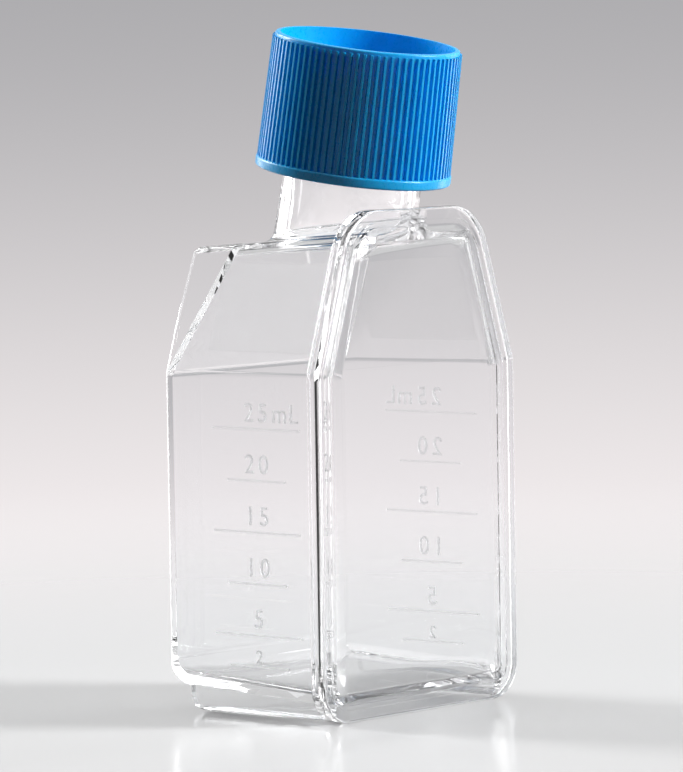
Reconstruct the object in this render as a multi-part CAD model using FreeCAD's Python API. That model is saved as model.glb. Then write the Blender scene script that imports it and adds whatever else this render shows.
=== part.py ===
import FreeCAD, Part
import os
from math import cos, pi, radians, sin, tan

from FreeCAD import Vector

# Cell culture flask, in millimetres. It stands on its end: +Z runs up to the neck, the window plate faces -Y, the growth
# wall faces +Y, and X = 0 is the plane of symmetry. Depths (y) are measured from the rim's front face towards the growth
# wall, and the finished pieces are then moved so that the origin is the middle of the flask's footprint.

# Body shell
body_depth = 27.9  # from the rim's front to the outside of the growth wall
back_width = 31.9  # across the growth wall
end_wall_z = 3.5  # outside of the end wall, where it meets the growth wall
shoulder_z = 42.3  # where the side walls bend inward, at the growth wall
deck_z = 57.5  # top of the deck, at the growth wall
taper = 18.4  # degrees, lean of the tapered facets
draft = 2.7  # degrees, every wall around the growth wall opens towards the window
deck_slope = 4.0  # degrees, the deck rises towards the window
wall = 1.0
heel_radius = 3.8  # outside round between the growth wall and the end wall
wall_edge_radius = 0.8
bend_radius = 2.0
cavity_edge_radius = 1.2

# Foot skirts, which carry the side walls down past the end wall
foot_length = 24.1  # from the rim's front to the foot's rear edge
foot_corner_radius = 2.5
foot_wall = 1.6
foot_edge_radius = 3.2  # along the foot's outer lower edge, which stays inside the rim's corner

# Ramp that closes the chamber behind the neck, between the two rear fins
ramp_z = 41.95  # where the ramp leaves the growth wall
ramp_lean = 24.7  # degrees from vertical
ramp_wall = 1.1
fin_lean_z = 42.6  # above this height the fins' rear edges lean forward
fin_setback = 1.1  # how far forward they are at the deck
fin_corner_radius = 1.2

# Weld rim, shared by the body's flange and the window plate
rim_width = 37.8
rim_shoulder_z = 42.8
rim_top_z = 62.3
rim_bottom_radius = 4.6
rim_shoulder_radius = 2.0
rim_top_radius = 7.0
flange_thickness = 1.13
flange_sink = 0.2  # the walls run into the flange up to this far from its face
plate_thickness = 1.15
weld_gap = 0.02
rim_edge_radius = 0.3

# Window plate
rim_land = 1.5  # outer land of the rim, outside the groove
groove_width = 0.65
groove_depth = 0.4
window_inset = 4.65  # from the rim's edge to the window
window_recess = 0.5
bevel_width = 2.2  # of the slope from the rim's face down to the window
window_thickness = 1.2
window_bottom_radius = 1.6
window_shoulder_radius = 1.2
window_top_radius = 2.6
step_clearance = 0.15  # between the plate's locating step and the chamber's mouth
window_rib_z = 42.85
window_rib_width = 0.25
window_rib_height = 0.1
gate_z = 14.0
gate_height = 3.5
gate_proud = 0.25

# Neck
neck_tilt = 9.6  # degrees, towards the window
neck_y = 11.45  # where the neck's axis crosses the deck
neck_radius = 8.6
neck_draft = 2.4  # degrees, the neck widens below the cap
bore_radius = 7.3
neck_root_radius = 1.5
neck_lip_radius = 0.35
cap_standoff = 7.85  # along the axis, from the deck to the cap's lower edge
lip_clearance = 0.1  # between the neck's lip and the vent membrane

# Screw thread, right-hand, one start
pitch = 3.2
thread_base = 1.5
thread_crest = 0.6
thread_height = 1.0
thread_root = 0.1  # how deep the thread's foot is set in its wall
neck_thread_start = 3.2  # from the cap's lower edge to the middle of the thread's first end
neck_thread_turns = 1.75
cap_thread_turns = 1.5
thread_play = 0.08  # between the flanks that carry the closed cap
crest_clearance = 0.3  # between each crest and the opposite wall

# Screw cap
cap_height = 16.8
rib_count = 84
rib_height = 0.45
rib_crest_width = 0.28
rib_foot_width = 0.52
crest_radius_low = 12.1
crest_radius_high = 11.8
low_band_radius = 12.2
low_band_height = 1.3
low_band_edge = 0.3
high_band_radius = 11.5
high_band_height = 1.0
high_band_edge = 0.25
recess_radius = 10.9
recess_depth = 3.4
ceiling_thickness = 1.4
vent_count = 6
vent_inner_radius = 2.2
vent_outer_radius = 6.5
vent_spoke = 1.2

# Vent membrane
membrane_radius = 9.6
membrane_thickness = 0.25
membrane_gap = 0.05  # film of adhesive under the ceiling

# Graduations on both side walls, in millilitres of the upright flask
marks_long = (25, 15, 5)
marks_short = (20, 10, 2)
mark_front = 5.0  # depth at which a long mark starts
mark_length = 14.6
mark_short_by = 2.4  # at each end of a short mark
mark_width = 0.25
mark_proud = 0.12

# Reach of a cutting tool past the material that it cuts
over = 4.0

# A point nearer than this to a surface lies on it
touch = 0.001

axis = Vector(0, -sin(radians(neck_tilt)), cos(radians(neck_tilt)))
neck_z = deck_z + (body_depth - neck_y) * tan(radians(deck_slope))
cap_foot = Vector(0, neck_y, neck_z) + axis * cap_standoff
flange_back = plate_thickness + weld_gap + flange_thickness
cap_bore_radius = neck_radius + thread_height + crest_clearance
ceiling_z = cap_height - recess_depth - ceiling_thickness
rib_top = cap_height - high_band_height / 2
membrane_z = ceiling_z - membrane_gap - membrane_thickness
lip_height = membrane_z - lip_clearance


def grow(y):
    """How far the drafted outline has opened at a depth, against its size at the growth wall."""
    return (body_depth - y) * tan(radians(draft))


def deck_at(y):
    """Height of the deck's outside at a depth."""
    return deck_z + (body_depth - y) * tan(radians(deck_slope))


def house(half, bottom, shoulder, top, offset):
    """Corners (x, z) of the flask's end view, from the lower right round to the lower left, moved out by offset."""
    lean = radians(taper)
    top_half = half - (top - shoulder) * tan(lean)
    right = [
        (half + offset, bottom - offset),
        (half + offset, shoulder + offset * tan(lean / 2)),
        (top_half + offset * (1 - sin(lean)) / cos(lean), top + offset),
    ]
    return right + [(-x, z) for x, z in reversed(right)]


def body_section(y, inset, bottom=None):
    """Corners of the body's outline at a depth, moved in by inset, with its lowest side level where bottom is given."""
    corners = house(back_width / 2, end_wall_z, shoulder_z, deck_at(y) - grow(y), grow(y) - inset)
    if bottom is not None:
        corners[0] = (corners[0][0], bottom)
        corners[-1] = (corners[-1][0], bottom)
    return [Vector(x, y, z) for x, z in corners]


def frustum(near, far):
    """Solid with flat sides between two polygons of as many corners."""
    faces = [Part.Face(Part.makePolygon(ring + ring[:1])) for ring in (near, far)]
    for i in range(len(near)):
        j = (i + 1) % len(near)
        faces.append(Part.Face(Part.makePolygon([near[i], near[j], far[j], far[i], near[i]])))
    solid = Part.makeSolid(Part.makeShell(faces))
    if solid.Volume < 0:
        solid.reverse()
    return solid


def rounded(before, corner, after, radius):
    """Start, middle and end of the arc that rounds a corner between two straight stretches."""
    here = Vector(*corner, 0)
    back = (Vector(*before, 0) - here).normalize()
    on = (Vector(*after, 0) - here).normalize()
    half_angle = back.getAngle(on) / 2
    centre = here + (back + on).normalize() * (radius / sin(half_angle))
    middle = centre + (here - centre).normalize() * radius
    reach = radius / tan(half_angle)
    return [(p.x, p.y) for p in (here + back * reach, middle, here + on * reach)]


def face_inside(path, place):
    """Face inside a closed path of single points and three-point arcs; place maps (u, v) to a point in space."""
    edges = []
    for i, stretch in enumerate(path):
        first = place(*path[i - 1][-1])
        points = [place(*point) for point in stretch]
        if first.distanceToPoint(points[0]) > Part.Precision.confusion():
            edges.append(Part.makeLine(first, points[0]))
        if len(points) == 3:
            edges.append(Part.Arc(*points).toShape())
    return Part.Face(Part.Wire(edges))


def rounded_slab(corners, radii, y, thickness):
    """Slab from a depth towards the growth wall, with the given (x, z) corners, each rounded by its radius."""
    path = []
    for i, corner in enumerate(corners):
        path.append(rounded(corners[i - 1], corner, corners[(i + 1) % len(corners)], radii[i]))
    return face_inside(path, lambda x, z: Vector(x, y, z)).extrude(Vector(0, thickness, 0))


def rim_slab(inset, radii, y, thickness):
    """Slab with the rim's outline moved in by inset; radii are its lower, shoulder and upper rounds."""
    corners = house(rim_width / 2, 0, rim_shoulder_z, rim_top_z, -inset)
    return rounded_slab(corners, radii + radii[::-1], y, thickness)


def rim_radii(inset):
    """The rim's rounds, kept concentric as its outline moves in."""
    return [max(r - inset, rim_edge_radius) for r in (rim_bottom_radius, rim_shoulder_radius, rim_top_radius)]


def across(path):
    """Prism from side to side, wider than the flask, with the given (y, z) side view."""
    face = face_inside(path, lambda y, z: Vector(-rim_width, y, z))
    return face.extrude(Vector(2 * rim_width, 0, 0))


def turned(path):
    """Solid of revolution about +Z with the given (radius, height) half section; its seam faces +Y."""
    face = face_inside(path, lambda r, z: Vector(0, r, z))
    return face.revolve(Vector(0, 0, 0), Vector(0, 0, 1), 360)


def on_neck(shape):
    """Moves what was made about +Z, with its zero at the cap's lower edge, onto the neck's axis."""
    placed = shape.copy()
    placed.rotate(Vector(0, 0, 0), Vector(1, 0, 0), neck_tilt)
    placed.translate(cap_foot)
    return placed


def lengthwise_edges(solid, low, high):
    """Edges that run front to back with their middle between two heights."""
    found = []
    for edge in solid.Edges:
        first = edge.Vertexes[0].Point
        last = edge.Vertexes[-1].Point
        if abs(first.y - last.y) > body_depth / 2 and low < (first.z + last.z) / 2 < high:
            found.append(edge)
    return found


def end_wall_at(y, inset):
    """Height of the end wall's outside at a depth, moved in by inset."""
    return end_wall_z + inset - grow(y)


def heel(inset):
    """Arc between the end wall and the growth wall, moved in by inset."""
    back = body_depth - inset
    corner = (back, end_wall_at(back, inset))
    return rounded((0, end_wall_at(0, inset)), corner, (back, shoulder_z), heel_radius - inset)


def behind_ramp(inset):
    """Everything behind the ramp's outside, moved in by inset."""
    lean = tan(radians(ramp_lean))
    back = body_depth - inset / cos(radians(ramp_lean))
    low = ramp_z - over
    high = rim_top_z
    return across([
        [(back + over * lean, low)],
        [(back - (high - ramp_z) * lean, high)],
        [(body_depth + 2 * over, high)],
        [(body_depth + 2 * over, low)],
    ])


def outer_block():
    """Outside of the moulding behind the flange, with solid feet and fins."""
    block = frustum(body_section(-over, 0, 0), body_section(body_depth, 0, 0))
    block = block.makeFillet(bend_radius, lengthwise_edges(block, shoulder_z - over, shoulder_z + over))
    block = block.makeFillet(wall_edge_radius, lengthwise_edges(block, deck_z - over, deck_z + over))
    sides = [e for e in block.Edges if all(abs(v.Y - body_depth) < touch and v.Z > 0.1 for v in e.Vertexes)]
    return block.makeFillet(wall_edge_radius, sides)


def rear_cutter():
    """What lies below and behind the foot's rear edge and the heel."""
    foot_top = end_wall_at(foot_length, 0)
    foot = rounded((0, 0), (foot_length, 0), (foot_length, foot_top), foot_corner_radius)
    edge = heel(0)
    far = body_depth + over
    return across([
        foot,
        [(foot_length, foot_top)],
        edge,
        [(far, edge[-1][1])],
        [(far, -over)],
        [(foot[0][0], -over)],
    ])


def fin_cutter():
    """What lies behind the fins' leaning rear edges and their rounded upper corners."""
    lean = fin_setback / (deck_z - fin_lean_z)
    low = (body_depth + over * lean, fin_lean_z - over)
    corner_y = body_depth - fin_setback
    edge = rounded(low, (corner_y, deck_at(corner_y)), (0, deck_at(0)), fin_corner_radius)
    return across([
        [low],
        edge,
        [(edge[-1][0], rim_top_z)],
        [(body_depth + over, rim_top_z)],
        [(body_depth + over, low[1])],
    ])


def foot_edge_cutter(side):
    """What lies outside the round of a foot's lower edge; side is 1 for +X and -1 for -X."""
    half = back_width / 2 + grow(0)
    edge = rounded((0, 0), (half, 0), (half, shoulder_z), foot_edge_radius)
    path = [edge, [(half + over, edge[-1][1])], [(half + over, -over)], [(edge[0][0], -over)]]
    face = face_inside(path, lambda x, z: Vector(side * x, 0, z))
    return face.extrude(Vector(0, body_depth + over, 0))


def foot_gap():
    """The room under the end wall, between the two feet."""
    rings = []
    for y in (0, body_depth + over):
        half = back_width / 2 + grow(y) - foot_wall
        top = end_wall_at(y, 0)
        rings.append([Vector(x, y, z) for x, z in ((half, -over), (half, top), (-half, top), (-half, -over))])
    return frustum(*rings)


def chamber():
    """Inside of the body, open towards the window."""
    hollow = frustum(body_section(-over, wall), body_section(body_depth - wall, wall))
    hollow = hollow.makeFillet(cavity_edge_radius, lengthwise_edges(hollow, 0, deck_z + over))
    edge = heel(wall)
    far = body_depth + over
    hollow = hollow.cut(across([
        edge,
        [(far, edge[-1][1])],
        [(far, -over)],
        [(edge[0][0], -over)],
    ]))
    return hollow.cut(behind_ramp(ramp_wall))


def rear_pocket():
    """The room between the fins, behind the ramp and under the deck's shelf."""
    room = frustum(body_section(0, wall), body_section(body_depth + 2 * over, wall))
    return room.common(behind_ramp(0))


def screw_thread(wall_radius, outward, start, turns):
    """Trapezoid thread on a wall; outward is 1 for a thread that stands out of it and -1 for one that faces in."""
    foot = thread_base / 2 + thread_root * (thread_base - thread_crest) / 2 / thread_height
    crest = thread_crest / 2
    section = [(-thread_root, -foot), (thread_height, -crest), (thread_height, crest), (-thread_root, foot)]
    points = [Vector(wall_radius + outward * r, 0, z) for r, z in section]
    helix = Part.makeHelix(pitch, pitch * turns, wall_radius)
    ridge = Part.Wire(helix.Edges).makePipeShell([Part.makePolygon(points + points[:1])], True, True)
    ridge.translate(Vector(0, 0, start))
    return ridge


def neck_radius_at(s):
    """Outside radius of the neck at a height on its axis, which is negative below the cap's lower edge."""
    return neck_radius - s * tan(radians(neck_draft))


def neck():
    """Solid neck about +Z with a rounded lip, long enough to reach into the chamber."""
    low = -cap_standoff - neck_radius * sin(radians(neck_tilt)) - over / 2
    edge = rounded((neck_radius, low), (neck_radius, lip_height), (0, lip_height), neck_lip_radius)
    return turned([[(0, low)], [(neck_radius_at(low), low)], [(neck_radius, 0)], edge, [(0, lip_height)]])


def off_neck(point):
    """Distance of a point from the neck's outside."""
    arm = point - cap_foot
    return abs(arm.cross(axis).Length - neck_radius_at(arm.dot(axis)))


def root_edges(solid):
    """Edges along which the neck stands on the deck."""
    found = []
    for edge in solid.Edges:
        first, last = edge.ParameterRange
        points = [edge.valueAt(first + (last - first) * part) for part in (0, 0.3, 0.7)]
        if all(abs(p.z - deck_at(p.y)) < touch and off_neck(p) < touch for p in points):
            found.append(edge)
    return found


def mark(side, value):
    """Raised graduation line on a side wall; side is 1 for +X and -1 for -X."""
    middle_depth = (window_recess + window_thickness + body_depth - wall) / 2
    chamber_area = (back_width + 2 * grow(middle_depth) - 2 * wall) * 2 * (body_depth - wall - middle_depth)
    z = end_wall_at(middle_depth, wall) + value * 1000 / chamber_area
    short_by = mark_short_by if value in marks_short else 0
    front = mark_front + short_by
    length = mark_length - 2 * short_by
    line = Part.makeBox(mark_proud + thread_root, length, mark_width, Vector(-thread_root, 0, -mark_width / 2))
    line.rotate(Vector(0, 0, 0), Vector(0, 0, 1), draft)
    line.translate(Vector(back_width / 2 + grow(front), front, z))
    return line if side > 0 else line.mirror(Vector(0, 0, 0), Vector(1, 0, 0))


def flask_body():
    """The moulding: walls, feet, fins, neck and flange, hollowed out."""
    body = outer_block().fuse(on_neck(neck()))
    body = body.makeFillet(neck_root_radius, root_edges(body))
    flange_front = plate_thickness + weld_gap
    depth = flange_front + flange_sink + 2 * over
    height = rim_top_z - rim_edge_radius + over
    waste = Part.makeBox(2 * rim_width, depth, height, Vector(-rim_width, -2 * over, -over))
    for cutter in (waste, rear_cutter(), fin_cutter(), foot_gap(), foot_edge_cutter(1), foot_edge_cutter(-1)):
        body = body.cut(cutter)
    flange = rim_slab(0, rim_radii(0), flange_front, flange_thickness)
    flange = flange.makeFillet(rim_edge_radius, outline_edges(flange, flange_back))
    body = body.fuse(flange)
    bore = Part.makeCylinder(bore_radius, lip_height + cap_standoff + 2 * over, Vector(0, 0, -cap_standoff - over))
    for cutter in (chamber(), rear_pocket(), on_neck(bore)):
        body = body.cut(cutter)
    body = body.fuse(on_neck(screw_thread(neck_radius, 1, neck_thread_start, neck_thread_turns)))
    return body.fuse([mark(side, value) for side in (-1, 1) for value in marks_long + marks_short])


def outline_edges(solid, y):
    """Edges that lie in the plane at a depth."""
    return [e for e in solid.Edges if all(abs(v.Y - y) < touch for v in e.Vertexes)]


def window_plate():
    """The flat plate: rim, groove, land and recessed window, with the step that locates it in the body."""
    plate = rim_slab(0, rim_radii(0), 0, plate_thickness)
    plate = plate.makeFillet(rim_edge_radius, outline_edges(plate, 0))
    groove = rim_slab(rim_land, rim_radii(rim_land), -over, over + groove_depth)
    inner = rim_land + groove_width
    groove = groove.cut(rim_slab(inner, rim_radii(inner), -2 * over, 4 * over))
    bevel_radii = [r + bevel_width for r in (window_bottom_radius, window_shoulder_radius, window_top_radius)]
    recess = rim_slab(window_inset - bevel_width, bevel_radii, -over, over + window_recess)
    recess = recess.makeChamfer(window_recess, bevel_width, outline_edges(recess, window_recess))
    panel_back = window_recess + window_thickness
    mouth = [(p.x, p.z) for p in body_section(panel_back, wall + step_clearance)]
    step = rounded_slab(mouth, [cavity_edge_radius] * len(mouth), window_recess, window_thickness)
    rib_half = rim_width / 2 - window_inset
    rib = Part.makeBox(
        2 * rib_half,
        2 * window_rib_height,
        window_rib_width,
        Vector(-rib_half, window_recess - window_rib_height, window_rib_z),
    )
    gate = Part.makeBox(
        2 * gate_proud,
        plate_thickness / 2,
        gate_height,
        Vector(rim_width / 2 - gate_proud, plate_thickness / 4, gate_z),
    )
    plate = plate.fuse(step).cut(groove).cut(recess)
    return plate.fuse([rib, gate]).removeSplitter()


def rib_ring(s, crest_radius):
    """Outline of the ribbed skirt at a height on the cap; it shrinks in proportion, so that every side is flat."""
    scale = crest_radius / crest_radius_low
    points = []
    for i in range(rib_count):
        middle = 2 * pi * i / rib_count
        for radius, shift in (
            (crest_radius_low - rib_height, -rib_foot_width / 2),
            (crest_radius_low, -rib_crest_width / 2),
            (crest_radius_low, rib_crest_width / 2),
            (crest_radius_low - rib_height, rib_foot_width / 2),
        ):
            angle = middle + shift / crest_radius_low
            points.append(Vector(radius * scale * cos(angle), radius * scale * sin(angle), s))
    return points


def vents():
    """The openings through the cap's ceiling, parted by spokes."""
    depth = ceiling_thickness + over
    ring = Part.makeCylinder(vent_outer_radius, depth, Vector(0, 0, ceiling_z - over / 2))
    ring = ring.cut(Part.makeCylinder(vent_inner_radius, depth, Vector(0, 0, ceiling_z - over / 2)))
    spokes = []
    for i in range(vent_count):
        spoke = Part.makeBox(vent_outer_radius * 2, vent_spoke, depth + over, Vector(0, -vent_spoke / 2, ceiling_z - over))
        spoke.rotate(Vector(0, 0, 0), Vector(0, 0, 1), 360 * i / vent_count)
        spokes.append(spoke)
    return ring.cut(spokes)


def screw_cap():
    """Ribbed cap about +Z: bands, skirt with its inside thread, and a deep recess with vents in its floor."""
    cap = frustum(rib_ring(low_band_height / 2, crest_radius_low), rib_ring(rib_top, crest_radius_high))
    low_band = Part.makeCylinder(low_band_radius, low_band_height)
    low_band = low_band.makeFillet(low_band_edge, low_band.Edges)
    high_band = Part.makeCylinder(high_band_radius, high_band_height, Vector(0, 0, cap_height - high_band_height))
    high_band = high_band.makeFillet(high_band_edge, level_edges(high_band, cap_height))
    cap = cap.fuse([low_band, high_band])
    recess = Part.makeCylinder(recess_radius, recess_depth + over, Vector(0, 0, cap_height - recess_depth))
    bore = Part.makeCylinder(cap_bore_radius, ceiling_z + over, Vector(0, 0, -over))
    cap = cap.cut([recess, bore, vents()])
    flank = thread_base - (thread_base - thread_crest) * (thread_height + crest_clearance) / 2 / thread_height
    ridge = screw_thread(cap_bore_radius, -1, neck_thread_start - flank - thread_play, cap_thread_turns)
    return cap.fuse(ridge)


def level_edges(solid, z):
    """Edges that lie in the plane at a height."""
    return [e for e in solid.Edges if all(abs(v.Z - z) < touch for v in e.Vertexes)]


def vent_membrane():
    """White disc under the cap's ceiling."""
    return Part.makeCylinder(membrane_radius, membrane_thickness, Vector(0, 0, membrane_z))


# The cap reaches furthest forward at the upper end of its front rib
front_y = cap_foot.y + axis.y * rib_top - axis.z * crest_radius_high
to_origin = Vector(0, -(front_y + body_depth) / 2, 0)

os.makedirs("parts", exist_ok=True)
for name, piece in (
    ("flask_body", flask_body()),
    ("window_plate", window_plate()),
    ("screw_cap", on_neck(screw_cap())),
    ("vent_membrane", on_neck(vent_membrane())),
):
    solid = piece.Solids[0]
    solid.translate(to_origin)
    solid.exportStep(f"parts/{name}.step")
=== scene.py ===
from math import cos, pi, radians, sin, tan

import bpy
from bpy.props import FloatProperty, FloatVectorProperty, PointerProperty
from mathutils import Matrix, Vector


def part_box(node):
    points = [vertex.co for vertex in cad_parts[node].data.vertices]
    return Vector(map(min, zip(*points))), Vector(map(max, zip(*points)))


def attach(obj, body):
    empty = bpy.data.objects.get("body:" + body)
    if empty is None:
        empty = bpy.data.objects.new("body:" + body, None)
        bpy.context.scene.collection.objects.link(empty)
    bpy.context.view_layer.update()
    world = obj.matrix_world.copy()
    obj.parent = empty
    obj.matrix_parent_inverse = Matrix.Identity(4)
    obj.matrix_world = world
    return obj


bl_info = {
    "name": "Cell culture flask finishes",
    "version": (1, 0, 0),
    "blender": (4, 5, 0),
    "location": "View3D > Sidebar > Flask",
    "description": "Dresses a clear moulded culture flask with its numerals, "
    "frosted patches, ribbed cap and studio",
    "category": "Object",
}

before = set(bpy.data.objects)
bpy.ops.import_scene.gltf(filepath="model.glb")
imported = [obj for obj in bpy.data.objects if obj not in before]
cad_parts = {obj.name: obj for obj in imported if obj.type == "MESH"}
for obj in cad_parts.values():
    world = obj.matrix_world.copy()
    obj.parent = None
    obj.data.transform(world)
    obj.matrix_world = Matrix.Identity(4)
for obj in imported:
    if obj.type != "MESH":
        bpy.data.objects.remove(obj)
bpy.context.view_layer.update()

MM = 0.001
BODY_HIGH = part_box("flask_body")[1]
PLATE_LOW, PLATE_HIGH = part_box("window_plate")

# The side walls open towards the window by the draft,
# and the facets above them lean in by the taper
DRAFT = radians(2.7)
TAPER = radians(18.4)
WALL_HALF = 15.95 * MM  # half of the width across the growth wall
SHOULDER = 42.3 * MM  # where the facets start, at the growth wall
GROWTH_WALL = BODY_HIGH.y
RIM_FACE = PLATE_LOW.y
RIM_BACK = PLATE_HIGH.y + 2 * MM  # the bare side walls start behind the rim

# Text beside the graduation lines: its characters, its line in millilitres,
# and how far right of the line's middle it is
LABELS = (
    ("25", 25, 0.0),
    ("m", 25, 3.97 * MM),
    ("L", 25, 6.3 * MM),
    ("20", 20, 0.0),
    ("15", 15, 0.0),
    ("10", 10, 0.0),
    ("5", 5, 0.0),
)
SMALL_LABEL = ("2", 2, 0.0)
GLYPH_HEIGHT = 0.691  # of a digit in the built-in font at size 1
TEXT_WELD = 0.0001 * MM

# Smoothing of the solids' facets
WELD = 0.001 * MM
SHELL_ANGLE = radians(25)
CAP_ANGLE = radians(22)
FLAT_WEIGHT = 100

# Clear plastic. A noise scale is in cells to the metre
RIPPLE_SCALE = 70
RIPPLE_DETAIL = 1
RIPPLE_STRENGTH = 0.1
RIPPLE_DEPTH = 0.05 * MM
NUMERAL_GRAIN_SCALE = 5000
NUMERAL_GRAIN_DETAIL = 2
PATCH_EDGE = 0.1 * MM  # over which a writing patch fades
PATCH_SKIN = 0.5 * MM  # only the outer part of the wall is frosted
PATCH_SHADE = 0.93
PATCH_GRAIN_SCALE = 7000
PATCH_GRAIN_DETAIL = 3
PATCH_GRAIN_SHARE = 0.5  # of the grain in the bump, next to the ripple
LINE_PROUD = 0.03 * MM  # what stands out further than this is a raised line

# Cap
CAP_REFRACTION = 1.51
CAP_SHINE = 0.35
CAP_SCATTER = (0.2, 0.8, 1.0)  # how far red, green and blue wander, as shares of the depth
CAP_SCATTER_DEPTH = 0.9 * MM
CAP_CLOUD_SCALE = 500
CAP_CLOUD_DETAIL = 3
CAP_SHADE = 0.8
CAP_GRAIN_SCALE = 2600
CAP_GRAIN_DETAIL = 4
CAP_SCUFF = 0.25
CAP_POLISH = 0.1  # how much glossier than its roughness an unscuffed spot is
CAP_GRAIN_STRENGTH = 0.35
CAP_GRAIN_DEPTH = 0.04 * MM

# Vent film
FILM_ROUGHNESS = 0.85
FILM_SHADE = 0.86
FIBRE_SCALE = 4500
FIBRE_DETAIL = 5
FIBRE_STRENGTH = 0.5
FIBRE_DEPTH = 0.05 * MM

# Light goes through many walls and along the rims before it leaves the clear plastic
MOST_BOUNCES = 32
GLOSSY_BOUNCES = 24
CLEAR_BOUNCES = 32

# Upright lamps: azimuth from +X, lower and upper edge, width, and strength as a white card's
LAMP_DISTANCE = 0.85
LAMPS = (
    ("key_softbox", radians(-57), 0.12, 0.8, 0.24, 2.0),
    ("right_softbox", radians(-8), -0.25, 0.7, 0.16, 0.25),
    ("back_softbox", radians(78), -0.1, 0.7, 0.2, 0.3),
    ("left_softbox", radians(98), 0.16, 0.8, 0.26, 1.45),
)
TOP_LAMP_HEIGHT = 0.9
TOP_LAMP_SIZE = 0.6
TOP_LAMP_STRENGTH = 0.35

# Floor and backdrop. A height is the Z part of the direction that is looked in
FLOOR_SHINE = 0.25
FLOOR_FADE_START = 0.1  # share of the floor's radius
FLOOR_MARGIN = 1.1  # the floor's half side over its radius
BACKDROP_LOW = -0.125
BACKDROP_HIGH = 0.018
CEILING_LOW = 0.02
CEILING_HIGH = 0.12
CEILING_GREY = (0.6, 0.6, 0.6, 1)
WHITE = (1, 1, 1, 1)
FARTHEST_SEEN = 20


class FlaskPlasticSettings(bpy.types.PropertyGroup):
    """Clear moulded polystyrene and its frosted writing patches."""

    tint: FloatVectorProperty(
        name="Tint",
        description="Colour of the clear plastic",
        subtype="COLOR",
        default=(0.984, 0.988, 0.994),
        min=0,
        max=1,
    )
    refraction: FloatProperty(
        name="Refractive index",
        description="How strongly the plastic bends light",
        default=1.57,
        min=1,
        max=2,
    )
    polish: FloatProperty(
        name="Polish",
        description="Roughness of the polished mould faces",
        default=0.01,
        min=0,
        max=1,
    )
    frost: FloatProperty(
        name="Frost",
        description="Roughness of the writing patches",
        default=0.27,
        min=0,
        max=1,
    )
    line_frost: FloatProperty(
        name="Line frost",
        description="Roughness of the raised lines and numerals",
        default=0.3,
        min=0,
        max=1,
    )
    frost_low: FloatProperty(
        name="Frost from",
        description="Lower edge of the writing patches",
        default=45.1 * MM,
        unit="LENGTH",
    )
    frost_high: FloatProperty(
        name="Frost to",
        description="Upper edge of the writing patches",
        default=55.9 * MM,
        unit="LENGTH",
    )
    frost_front: FloatProperty(
        name="Frost front",
        description="Distance of the patches from the window plate's face",
        default=3.9 * MM,
        unit="LENGTH",
    )
    frost_length: FloatProperty(
        name="Frost length",
        description="Front to back length of the patches",
        default=17.1 * MM,
        unit="LENGTH",
    )


class FlaskNumeralSettings(bpy.types.PropertyGroup):
    """Raised numerals above the graduation lines."""

    height: FloatProperty(
        name="Height",
        description="Height of the numerals",
        default=2.3 * MM,
        unit="LENGTH",
    )
    small_height: FloatProperty(
        name="Small height",
        description="Height of the lowest numeral",
        default=1.6 * MM,
        unit="LENGTH",
    )
    spacing: FloatProperty(
        name="Spacing",
        description="Share of the font's own spacing between digits",
        default=1.4,
        min=0.5,
        max=3,
    )
    relief: FloatProperty(
        name="Relief",
        description="How far the numerals stand out",
        default=0.12 * MM,
        unit="LENGTH",
    )
    sunk: FloatProperty(
        name="Sunk",
        description="How deep their feet are set in the wall",
        default=0.02 * MM,
        unit="LENGTH",
    )
    above_line: FloatProperty(
        name="Above line",
        description="Gap between a line and its numeral",
        default=0.9 * MM,
        unit="LENGTH",
    )
    small_above_line: FloatProperty(
        name="Small above line",
        description="Gap below the lowest numeral",
        default=0.4 * MM,
        unit="LENGTH",
    )
    depth: FloatProperty(
        name="Depth",
        description="Distance of the lines' middle from the window plate's face",
        default=12.3 * MM,
        unit="LENGTH",
    )
    chamber_floor: FloatProperty(
        name="Chamber floor",
        description="Height at which the scale reads nought",
        default=3.86 * MM,
        unit="LENGTH",
    )
    per_millilitre: FloatProperty(
        name="Per millilitre",
        description="Height of one millilitre",
        default=1.2726 * MM,
        unit="LENGTH",
    )


class FlaskCapSettings(bpy.types.PropertyGroup):
    """Blue moulded cap and the white film under its vents."""

    colour: FloatVectorProperty(
        name="Colour",
        description="Colour of the cap",
        subtype="COLOR",
        default=(0.0, 0.46, 0.95),
        min=0,
        max=1,
    )
    gloss: FloatProperty(
        name="Roughness",
        description="Roughness of the cap",
        default=0.27,
        min=0,
        max=1,
    )
    glow: FloatProperty(
        name="Translucency",
        description="Share of light that wanders inside the cap",
        default=0.2,
        min=0,
        max=1,
    )
    film: FloatVectorProperty(
        name="Film",
        description="Colour of the vent film",
        subtype="COLOR",
        default=(0.86, 0.86, 0.84),
        min=0,
        max=1,
    )


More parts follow.
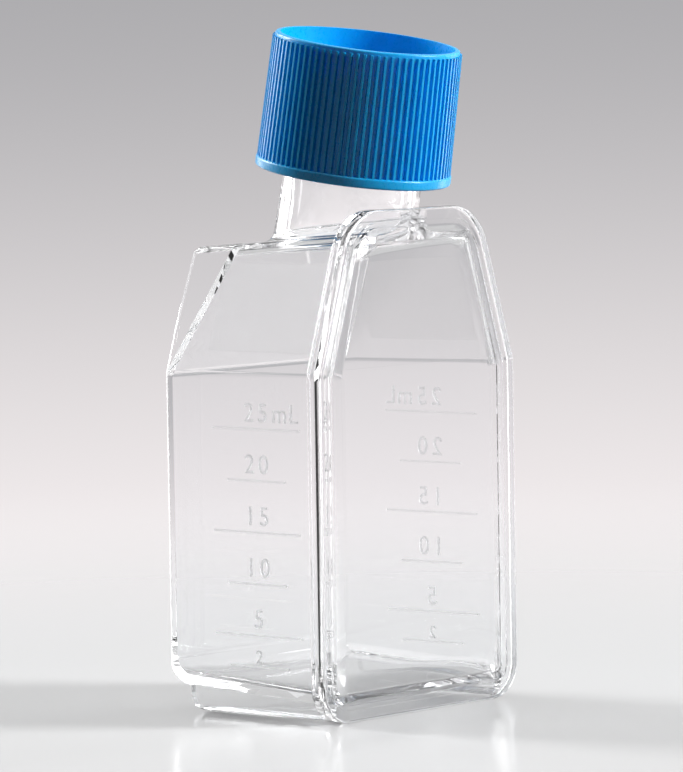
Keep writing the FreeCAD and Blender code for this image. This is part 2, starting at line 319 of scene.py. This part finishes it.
class FlaskStageSettings(bpy.types.PropertyGroup):
    """Floor, backdrop, ambient light and camera."""

    floor_colour: FloatVectorProperty(
        name="Floor",
        description="Colour of the floor",
        subtype="COLOR",
        default=(0.66, 0.66, 0.665),
        min=0,
        max=1,
    )
    floor_gloss: FloatProperty(
        name="Floor roughness",
        description="Roughness of the floor",
        default=0.16,
    )
    floor_radius: FloatProperty(
        name="Floor radius",
        description="Where the floor has faded away",
        default=0.35,
        unit="LENGTH",
    )
    low_backdrop: FloatVectorProperty(
        name="Low backdrop",
        description="Backdrop at the floor's level",
        subtype="COLOR",
        default=(0.95, 0.9, 0.905),
        min=0,
        max=1,
    )
    high_backdrop: FloatVectorProperty(
        name="High backdrop",
        description="Backdrop at eye level",
        subtype="COLOR",
        default=(0.41, 0.405, 0.42),
        min=0,
        max=1,
    )
    ambient: FloatProperty(
        name="Ambient",
        description="Light from all round",
        default=0.03,
        min=0,
        max=2,
    )
    azimuth: FloatProperty(
        name="Azimuth",
        description="Camera's turn about the flask",
        subtype="ANGLE",
        default=radians(-50),
    )
    elevation: FloatProperty(
        name="Elevation",
        description="Camera's height angle",
        subtype="ANGLE",
        default=radians(3.859),
    )
    roll: FloatProperty(
        name="Roll",
        description="Camera's roll",
        subtype="ANGLE",
        default=radians(-0.92),
    )
    distance: FloatProperty(
        name="Distance",
        description="Camera to flask",
        default=0.6925,
        unit="LENGTH",
    )
    lens: FloatProperty(
        name="Lens",
        description="Focal length in millimetres",
        default=258.5,
    )
    aim: FloatVectorProperty(
        name="Aim",
        description="Point that the camera looks at",
        subtype="XYZ",
        default=(0.72e-3, 1.27e-3, 39.88e-3),
    )


def new_material(name):
    """Material with a Principled shader, and its node tree and shader."""
    material = bpy.data.materials.new(name)
    material.use_nodes = True
    tree = material.node_tree
    return material, tree, tree.nodes["Principled BSDF"]


def node(tree, kind, **settings):
    """New node with its attributes set."""
    made = tree.nodes.new(kind)
    for key, value in settings.items():
        setattr(made, key, value)
    return made


def feed(tree, socket, value):
    """Sets an input socket to a number or a colour, or links it to an output."""
    if isinstance(value, (int, float, tuple)):
        socket.default_value = value
    else:
        tree.links.new(value, socket)


def maths(tree, operation, *values):
    """Math node; each value is a number or an output socket."""
    made = node(tree, "ShaderNodeMath", operation=operation)
    for socket, value in zip(made.inputs, values):
        feed(tree, socket, value)
    return made.outputs[0]


def soft_step(tree, value, low, high):
    """Rises from 0 to 1 as a value goes from low to high."""
    made = node(tree, "ShaderNodeMapRange", interpolation_type="SMOOTHSTEP")
    tree.links.new(value, made.inputs["Value"])
    feed(tree, made.inputs["From Min"], low)
    feed(tree, made.inputs["From Max"], high)
    return made.outputs["Result"]


def band(tree, value, low, high, softness):
    """1 where a value lies between two edges."""
    rise = soft_step(tree, value, low - softness, low + softness)
    fall = soft_step(tree, value, high - softness, high + softness)
    return maths(tree, "SUBTRACT", rise, fall)


def noise(tree, place, scale, detail):
    """Noise with cells of about 1 / scale metres."""
    made = node(tree, "ShaderNodeTexNoise")
    made.inputs["Scale"].default_value = scale
    made.inputs["Detail"].default_value = detail
    tree.links.new(place, made.inputs["Vector"])
    return made.outputs["Fac"]


def blend(tree, amount, start, end):
    """Colour that goes from one to another as an amount goes from 0 to 1."""
    made = node(tree, "ShaderNodeMix", data_type="RGBA")
    tree.links.new(amount, made.inputs["Factor"])
    feed(tree, made.inputs["A"], start)
    feed(tree, made.inputs["B"], end)
    return made.outputs["Result"]


def shaded(colour, share):
    """A colour with each channel at a share of itself."""
    return (*[channel * share for channel in colour], 1)


def bumped(tree, shader, height, strength, distance):
    """Bump on a shader's normal."""
    bump = node(tree, "ShaderNodeBump")
    bump.inputs["Strength"].default_value = strength
    bump.inputs["Distance"].default_value = distance
    tree.links.new(height, bump.inputs["Height"])
    tree.links.new(bump.outputs["Normal"], shader.inputs["Normal"])


def object_place(tree):
    """Position on the object."""
    return node(tree, "ShaderNodeTexCoord").outputs["Object"]


def parts_of(tree, vector):
    """X, Y and Z outputs of a vector."""
    split = node(tree, "ShaderNodeSeparateXYZ")
    tree.links.new(vector, split.inputs["Vector"])
    return split.outputs


def above_plane(tree, parts, base, lean):
    """How far a point lies outside a side wall's plane.

    The base is the plane's half width, which shrinks by the lean with height.
    """
    behind = maths(tree, "SUBTRACT", GROWTH_WALL, parts["Y"])
    opened = maths(tree, "MULTIPLY", behind, tan(DRAFT) / cos(lean))
    above = maths(tree, "SUBTRACT", parts["Z"], SHOULDER)
    lifted = maths(tree, "MULTIPLY", above, tan(lean))
    half = maths(tree, "SUBTRACT", maths(tree, "ADD", opened, base), lifted)
    return maths(tree, "SUBTRACT", maths(tree, "ABSOLUTE", parts["X"]), half)


def clear_plastic(name, settings):
    """Clear polystyrene, and its position and the height of its faint ripple."""
    material, tree, shader = new_material(name)
    shader.inputs["Base Color"].default_value = (*settings.tint, 1)
    shader.inputs["IOR"].default_value = settings.refraction
    shader.inputs["Transmission Weight"].default_value = 1
    shader.inputs["Roughness"].default_value = settings.polish
    place = object_place(tree)
    ripple = noise(tree, place, RIPPLE_SCALE, RIPPLE_DETAIL)
    return material, tree, shader, place, ripple


def plate_plastic(settings):
    """The window plate's plastic."""
    material, tree, shader, _, ripple = clear_plastic("window_plate_plastic", settings)
    bumped(tree, shader, ripple, RIPPLE_STRENGTH, RIPPLE_DEPTH)
    return material


def numeral_plastic(settings):
    """The raised numerals' plastic, which is duller than the wall."""
    material, tree, shader, place, ripple = clear_plastic("numeral_plastic", settings)
    grain = noise(tree, place, NUMERAL_GRAIN_SCALE, NUMERAL_GRAIN_DETAIL)
    dull = maths(tree, "MULTIPLY_ADD", grain, settings.line_frost, settings.line_frost / 2)
    tree.links.new(dull, shader.inputs["Roughness"])
    bumped(tree, shader, ripple, RIPPLE_STRENGTH, RIPPLE_DEPTH)
    return material


def body_plastic(settings):
    """The body's plastic: polished, frosted on the patches and dull on the raised lines."""
    material, tree, shader, place, ripple = clear_plastic("flask_body_plastic", settings)
    parts = parts_of(tree, place)
    front = RIM_FACE + settings.frost_front
    across = band(tree, parts["Y"], front, front + settings.frost_length, PATCH_EDGE)
    up = band(tree, parts["Z"], settings.frost_low, settings.frost_high, PATCH_EDGE)
    facet = above_plane(tree, parts, WALL_HALF, TAPER)
    outside = maths(tree, "GREATER_THAN", facet, -PATCH_SKIN)
    patch = maths(tree, "MULTIPLY", maths(tree, "MULTIPLY", across, up), outside)
    wall = above_plane(tree, parts, WALL_HALF, 0)
    proud = maths(tree, "GREATER_THAN", wall, LINE_PROUD)
    bare = maths(tree, "GREATER_THAN", parts["Y"], RIM_BACK)
    line = maths(tree, "MULTIPLY", proud, bare)
    extra = settings.frost - settings.polish
    roughness = maths(tree, "MULTIPLY_ADD", patch, extra, settings.polish)
    roughness = maths(tree, "MULTIPLY_ADD", line, settings.line_frost, roughness)
    tree.links.new(roughness, shader.inputs["Roughness"])
    tone = blend(tree, patch, shaded(settings.tint, 1), shaded(settings.tint, PATCH_SHADE))
    tree.links.new(tone, shader.inputs["Base Color"])
    grain = noise(tree, place, PATCH_GRAIN_SCALE, PATCH_GRAIN_DETAIL)
    grain = maths(tree, "MULTIPLY", grain, patch)
    height = maths(tree, "MULTIPLY_ADD", grain, PATCH_GRAIN_SHARE, ripple)
    bumped(tree, shader, height, RIPPLE_STRENGTH, RIPPLE_DEPTH)
    return material


def cap_plastic(settings):
    """Blue polyethylene: a little translucent, with fine scuffs and moulding grain."""
    material, tree, shader = new_material("cap_plastic")
    place = object_place(tree)
    shader.inputs["IOR"].default_value = CAP_REFRACTION
    shader.inputs["Specular IOR Level"].default_value = CAP_SHINE
    shader.inputs["Subsurface Weight"].default_value = settings.glow
    shader.inputs["Subsurface Radius"].default_value = CAP_SCATTER
    shader.inputs["Subsurface Scale"].default_value = CAP_SCATTER_DEPTH
    cloud = noise(tree, place, CAP_CLOUD_SCALE, CAP_CLOUD_DETAIL)
    tone = blend(tree, cloud, shaded(settings.colour, CAP_SHADE), shaded(settings.colour, 1))
    tree.links.new(tone, shader.inputs["Base Color"])
    grain = noise(tree, place, CAP_GRAIN_SCALE, CAP_GRAIN_DETAIL)
    scuffed = maths(tree, "MULTIPLY_ADD", grain, CAP_SCUFF, settings.gloss - CAP_POLISH)
    tree.links.new(scuffed, shader.inputs["Roughness"])
    bumped(tree, shader, grain, CAP_GRAIN_STRENGTH, CAP_GRAIN_DEPTH)
    return material


def film_membrane(settings):
    """White porous film."""
    material, tree, shader = new_material("film_membrane")
    shader.inputs["Roughness"].default_value = FILM_ROUGHNESS
    fibres = noise(tree, object_place(tree), FIBRE_SCALE, FIBRE_DETAIL)
    tone = blend(tree, fibres, shaded(settings.film, FILM_SHADE), shaded(settings.film, 1))
    tree.links.new(tone, shader.inputs["Base Color"])
    bumped(tree, shader, fibres, FIBRE_STRENGTH, FIBRE_DEPTH)
    return material


def assign(obj, material):
    """Gives every face of an object one material."""
    for place in obj.material_slots:
        place.material = material
    if not obj.material_slots:
        obj.data.materials.append(material)


def smooth_by_angle(obj, angle):
    """Welds and smooths a piece with modifiers, keeping edges sharper than the angle."""
    tree = bpy.data.node_groups.new(obj.name + "_smooth", "GeometryNodeTree")
    for way in ("INPUT", "OUTPUT"):
        tree.interface.new_socket("Geometry", in_out=way, socket_type="NodeSocketGeometry")
    start = node(tree, "NodeGroupInput")
    weld = node(tree, "GeometryNodeMergeByDistance")
    weld.inputs["Distance"].default_value = WELD
    bend = node(tree, "GeometryNodeInputMeshEdgeAngle")
    gentle = node(tree, "FunctionNodeCompare", data_type="FLOAT", operation="LESS_THAN")
    gentle.inputs["B"].default_value = angle
    faces = node(tree, "GeometryNodeSetShadeSmooth", domain="FACE")
    edges = node(tree, "GeometryNodeSetShadeSmooth", domain="EDGE")
    end = node(tree, "NodeGroupOutput")
    tree.links.new(start.outputs[0], weld.inputs["Geometry"])
    tree.links.new(weld.outputs["Geometry"], faces.inputs["Geometry"])
    tree.links.new(faces.outputs["Geometry"], edges.inputs["Geometry"])
    tree.links.new(bend.outputs["Unsigned Angle"], gentle.inputs["A"])
    tree.links.new(gentle.outputs["Result"], edges.inputs["Shade Smooth"])
    tree.links.new(edges.outputs["Geometry"], end.inputs[0])
    modifier = obj.modifiers.new("smooth", "NODES")
    modifier.node_group = tree
    # Large faces keep their own normal, so that flat walls don't bend what is seen through them
    flat = obj.modifiers.new("flat_walls", "WEIGHTED_NORMAL")
    flat.mode = "FACE_AREA"
    flat.weight = FLAT_WEIGHT
    flat.keep_sharp = True


def text_solid(tree, characters, size, spacing, thickness):
    """Closed raised text that lies in the XY plane, centred on X."""
    text = node(
        tree, "GeometryNodeStringToCurves", align_x="CENTER", align_y="BOTTOM_BASELINE"
    )
    text.inputs["String"].default_value = characters
    tree.links.new(size, text.inputs["Size"])
    tree.links.new(spacing, text.inputs["Character Spacing"])
    real = node(tree, "GeometryNodeRealizeInstances")
    tree.links.new(text.outputs["Curve Instances"], real.inputs["Geometry"])
    fill = node(tree, "GeometryNodeFillCurve", mode="NGONS")
    tree.links.new(real.outputs["Geometry"], fill.inputs["Curve"])
    raised = node(tree, "GeometryNodeExtrudeMesh", mode="FACES")
    raised.inputs["Individual"].default_value = False
    tree.links.new(fill.outputs["Mesh"], raised.inputs["Mesh"])
    tree.links.new(thickness, raised.inputs["Offset Scale"])
    foot = node(tree, "GeometryNodeFlipFaces")
    tree.links.new(fill.outputs["Mesh"], foot.inputs["Mesh"])
    whole = node(tree, "GeometryNodeJoinGeometry")
    tree.links.new(raised.outputs["Mesh"], whole.inputs["Geometry"])
    tree.links.new(foot.outputs["Mesh"], whole.inputs["Geometry"])
    closed = node(tree, "GeometryNodeMergeByDistance")
    closed.inputs["Distance"].default_value = TEXT_WELD
    tree.links.new(whole.outputs["Geometry"], closed.inputs["Geometry"])
    return closed.outputs["Geometry"]


def moved(tree, geometry, translation=(0, 0, 0), rotation=(0, 0, 0)):
    """Transform node on a geometry."""
    step = node(tree, "GeometryNodeTransform")
    step.inputs["Translation"].default_value = translation
    step.inputs["Rotation"].default_value = rotation
    tree.links.new(geometry, step.inputs["Geometry"])
    return step.outputs["Geometry"]


def numeral_tree(settings):
    """Node group that sets the raised text on both side walls.

    Its named inputs are the sizes and the material.
    """
    tree = bpy.data.node_groups.new("raised_numerals", "GeometryNodeTree")
    tree.interface.new_socket("Geometry", in_out="OUTPUT", socket_type="NodeSocketGeometry")
    for name in ("Size", "Small size", "Spacing", "Thickness"):
        tree.interface.new_socket(name, in_out="INPUT", socket_type="NodeSocketFloat")
    tree.interface.new_socket("Material", in_out="INPUT", socket_type="NodeSocketMaterial")
    given = node(tree, "NodeGroupInput").outputs
    column = node(tree, "GeometryNodeJoinGeometry")
    rows = [(label, "Size", settings.above_line) for label in LABELS]
    rows.append((SMALL_LABEL, "Small size", settings.small_above_line))
    for (characters, value, right), size, gap in rows:
        solid = text_solid(tree, characters, given[size], given["Spacing"], given["Thickness"])
        height = settings.chamber_floor + value * settings.per_millilitre + gap
        tree.links.new(moved(tree, solid, (right, height, 0)), column.inputs["Geometry"])
    upright = moved(tree, column.outputs["Geometry"], rotation=(pi / 2, 0, 0))
    both = node(tree, "GeometryNodeJoinGeometry")
    y = RIM_FACE + settings.depth
    foot = WALL_HALF + (GROWTH_WALL - y) * tan(DRAFT) - settings.sunk
    for side in (-1, 1):
        placed = moved(tree, upright, (side * foot, y, 0), (0, 0, side * (pi / 2 + DRAFT)))
        tree.links.new(placed, both.inputs["Geometry"])
    real = node(tree, "GeometryNodeRealizeInstances")
    coat = node(tree, "GeometryNodeSetMaterial")
    end = node(tree, "NodeGroupOutput")
    tree.links.new(both.outputs["Geometry"], real.inputs["Geometry"])
    tree.links.new(real.outputs["Geometry"], coat.inputs["Geometry"])
    tree.links.new(given["Material"], coat.inputs["Material"])
    tree.links.new(coat.outputs["Geometry"], end.inputs[0])
    return tree


def set_input(modifier, name, value):
    """Sets a Geometry Nodes modifier's input by its name."""
    for item in modifier.node_group.interface.items_tree:
        if item.item_type == "SOCKET" and item.in_out == "INPUT" and item.name == name:
            modifier[item.identifier] = value
            return
    raise ValueError(f"no input is called {name}")


class FLASK_OT_clear_shell(bpy.types.Operator):
    """Finishes the moulded body and the window plate in clear plastic"""

    bl_idname = "flask.clear_shell"
    bl_label = "Clear shell"

    def execute(self, context):
        settings = context.scene.flask_plastic
        finishes = (("flask_body", body_plastic), ("window_plate", plate_plastic))
        for name, finish in finishes:
            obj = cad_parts[name]
            assign(obj, finish(settings))
            smooth_by_angle(obj, SHELL_ANGLE)
        return {"FINISHED"}


class FLASK_OT_numerals(bpy.types.Operator):
    """Sets the raised numerals above the graduation lines of both side walls"""

    bl_idname = "flask.numerals"
    bl_label = "Numerals"

    def execute(self, context):
        settings = context.scene.flask_numerals
        material = numeral_plastic(context.scene.flask_plastic)
        blank = bpy.data.objects.new("numeral_source", bpy.data.meshes.new("numeral_source"))
        context.scene.collection.objects.link(blank)
        modifier = blank.modifiers.new("numerals", "NODES")
        modifier.node_group = numeral_tree(settings)
        set_input(modifier, "Size", settings.height / GLYPH_HEIGHT)
        set_input(modifier, "Small size", settings.small_height / GLYPH_HEIGHT)
        set_input(modifier, "Spacing", settings.spacing)
        set_input(modifier, "Thickness", settings.relief + settings.sunk)
        set_input(modifier, "Material", material)
        blank.update_tag()
        graph = context.evaluated_depsgraph_get()
        mesh = bpy.data.meshes.new_from_object(blank.evaluated_get(graph), depsgraph=graph)
        if len(mesh.polygons) == 0:
            raise RuntimeError("the numerals came out empty")
        bpy.data.objects.remove(blank)
        mesh.name = "scale_numerals"
        piece = bpy.data.objects.new("scale_numerals", mesh)
        context.scene.collection.objects.link(piece)
        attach(piece, "flask")
        return {"FINISHED"}


class FLASK_OT_cap(bpy.types.Operator):
    """Finishes the screw cap and the film under its vents"""

    bl_idname = "flask.cap"
    bl_label = "Screw cap"

    def execute(self, context):
        settings = context.scene.flask_cap
        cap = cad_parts["screw_cap"]
        assign(cap, cap_plastic(settings))
        smooth_by_angle(cap, CAP_ANGLE)
        assign(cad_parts["vent_membrane"], film_membrane(settings))
        return {"FINISHED"}


def softbox(name, width, height, distance, strength):
    """Soft lamp that lights the flask from a distance as a white card of that strength.

    The camera doesn't see it.
    """
    data = bpy.data.lights.new(name, "AREA")
    data.shape = "RECTANGLE"
    data.size = width
    data.size_y = height
    data.energy = strength * pi * pi * distance * distance
    obj = bpy.data.objects.new(name, data)
    obj.visible_camera = False
    bpy.context.scene.collection.objects.link(obj)
    return obj


def hang_lamps():
    """Upright lamps round the flask, which they face, and one above it."""
    for name, azimuth, low, high, width, strength in LAMPS:
        obj = softbox(name, width, high - low, LAMP_DISTANCE, strength)
        away = Vector((cos(azimuth), sin(azimuth), 0))
        obj.location = away * LAMP_DISTANCE + Vector((0, 0, (low + high) / 2))
        obj.rotation_euler = (-away).to_track_quat("-Z", "Y").to_euler()
    top = softbox(
        "top_softbox", TOP_LAMP_SIZE, TOP_LAMP_SIZE, TOP_LAMP_HEIGHT, TOP_LAMP_STRENGTH
    )
    top.location = (0, 0, TOP_LAMP_HEIGHT)


def floor_card(settings):
    """Pale glossy finish that fades into the backdrop away from the flask."""
    material, tree, shader = new_material("floor_card")
    parts = parts_of(tree, object_place(tree))
    shader.inputs["Base Color"].default_value = (*settings.floor_colour, 1)
    shader.inputs["Roughness"].default_value = settings.floor_gloss
    shader.inputs["Specular IOR Level"].default_value = FLOOR_SHINE
    flat = node(tree, "ShaderNodeCombineXYZ")
    tree.links.new(parts["X"], flat.inputs["X"])
    tree.links.new(parts["Y"], flat.inputs["Y"])
    reach = node(tree, "ShaderNodeVectorMath", operation="LENGTH")
    tree.links.new(flat.outputs["Vector"], reach.inputs[0])
    radius = settings.floor_radius
    gone = soft_step(tree, reach.outputs["Value"], radius * FLOOR_FADE_START, radius)
    clear = node(tree, "ShaderNodeBsdfTransparent")
    mix = node(tree, "ShaderNodeMixShader")
    tree.links.new(gone, mix.inputs["Fac"])
    tree.links.new(shader.outputs["BSDF"], mix.inputs[1])
    tree.links.new(clear.outputs["BSDF"], mix.inputs[2])
    tree.links.new(mix.outputs["Shader"], tree.nodes["Material Output"].inputs["Surface"])
    return material


def lay_floor(settings):
    """Square floor, which doesn't throw light back onto the flask's pieces."""
    reach = settings.floor_radius * FLOOR_MARGIN
    corners = [(-reach, -reach, 0), (reach, -reach, 0), (reach, reach, 0), (-reach, reach, 0)]
    mesh = bpy.data.meshes.new("floor")
    mesh.from_pydata(corners, [], [(0, 1, 2, 3)])
    mesh.materials.append(floor_card(settings))
    floor = bpy.data.objects.new("floor", mesh)
    bpy.context.scene.collection.objects.link(floor)
    floor.visible_diffuse = False


def studio_world(settings):
    """Backdrop that the camera, glass and gloss see, and an even light for everything else."""
    world = bpy.data.worlds.new("studio")
    world.use_nodes = True
    tree = world.node_tree
    seen = tree.nodes["Background"]
    height = parts_of(tree, node(tree, "ShaderNodeTexCoord").outputs["Generated"])["Z"]
    tone = blend(
        tree,
        soft_step(tree, height, BACKDROP_LOW, BACKDROP_HIGH),
        (*settings.low_backdrop, 1),
        (*settings.high_backdrop, 1),
    )
    tone = blend(tree, soft_step(tree, height, CEILING_LOW, CEILING_HIGH), tone, CEILING_GREY)
    tree.links.new(tone, seen.inputs["Color"])
    even = node(tree, "ShaderNodeBackground")
    even.inputs["Color"].default_value = WHITE
    even.inputs["Strength"].default_value = settings.ambient
    rays = node(tree, "ShaderNodeLightPath")
    mix = node(tree, "ShaderNodeMixShader")
    tree.links.new(rays.outputs["Is Diffuse Ray"], mix.inputs["Fac"])
    tree.links.new(seen.outputs["Background"], mix.inputs[1])
    tree.links.new(even.outputs["Background"], mix.inputs[2])
    tree.links.new(mix.outputs["Shader"], tree.nodes["World Output"].inputs["Surface"])
    return world


def set_camera(settings):
    """Camera that looks at the flask's aim from the side that the settings give."""
    data = bpy.data.cameras.new("camera")
    data.lens = settings.lens
    data.clip_end = FARTHEST_SEEN
    camera = bpy.data.objects.new("camera", data)
    scene = bpy.context.scene
    scene.collection.objects.link(camera)
    forward = Vector(
        (
            -sin(settings.azimuth) * cos(settings.elevation),
            cos(settings.azimuth) * cos(settings.elevation),
            -sin(settings.elevation),
        )
    )
    turn = forward.to_track_quat("-Z", "Y").to_matrix().to_4x4()
    place = Matrix.Translation(Vector(settings.aim) - forward * settings.distance)
    camera.matrix_world = place @ turn @ Matrix.Rotation(settings.roll, 4, "Z")
    scene.camera = camera


class FLASK_OT_stage(bpy.types.Operator):
    """Makes the floor, backdrop, lamps and camera"""

    bl_idname = "flask.stage"
    bl_label = "Stage"

    def execute(self, context):
        settings = context.scene.flask_stage
        scene = context.scene
        scene.view_settings.view_transform = "Standard"
        scene.cycles.max_bounces = MOST_BOUNCES
        scene.cycles.glossy_bounces = GLOSSY_BOUNCES
        scene.cycles.transmission_bounces = CLEAR_BOUNCES
        scene.world = studio_world(settings)
        lay_floor(settings)
        hang_lamps()
        set_camera(settings)
        return {"FINISHED"}


class FLASK_PT_panel(bpy.types.Panel):
    """Lists the flask's operators"""

    bl_idname = "FLASK_PT_panel"
    bl_label = "Culture flask"
    bl_space_type = "VIEW_3D"
    bl_region_type = "UI"
    bl_category = "Flask"

    def draw(self, context):
        for step in STEPS:
            self.layout.operator(step.bl_idname)


STEPS = (FLASK_OT_clear_shell, FLASK_OT_numerals, FLASK_OT_cap, FLASK_OT_stage)
GROUPS = {
    "flask_plastic": FlaskPlasticSettings,
    "flask_numerals": FlaskNumeralSettings,
    "flask_cap": FlaskCapSettings,
    "flask_stage": FlaskStageSettings,
}


def register():
    for group in GROUPS.values():
        bpy.utils.register_class(group)
    for name, group in GROUPS.items():
        setattr(bpy.types.Scene, name, PointerProperty(type=group))
    for step in STEPS + (FLASK_PT_panel,):
        bpy.utils.register_class(step)


def unregister():
    for step in reversed(STEPS + (FLASK_PT_panel,)):
        bpy.utils.unregister_class(step)
    for name, group in reversed(GROUPS.items()):
        delattr(bpy.types.Scene, name)
        bpy.utils.unregister_class(group)


def main():
    register()
    bpy.ops.flask.clear_shell()
    bpy.ops.flask.numerals()
    bpy.ops.flask.cap()
    bpy.ops.flask.stage()


if __name__ == "__main__":
    main()
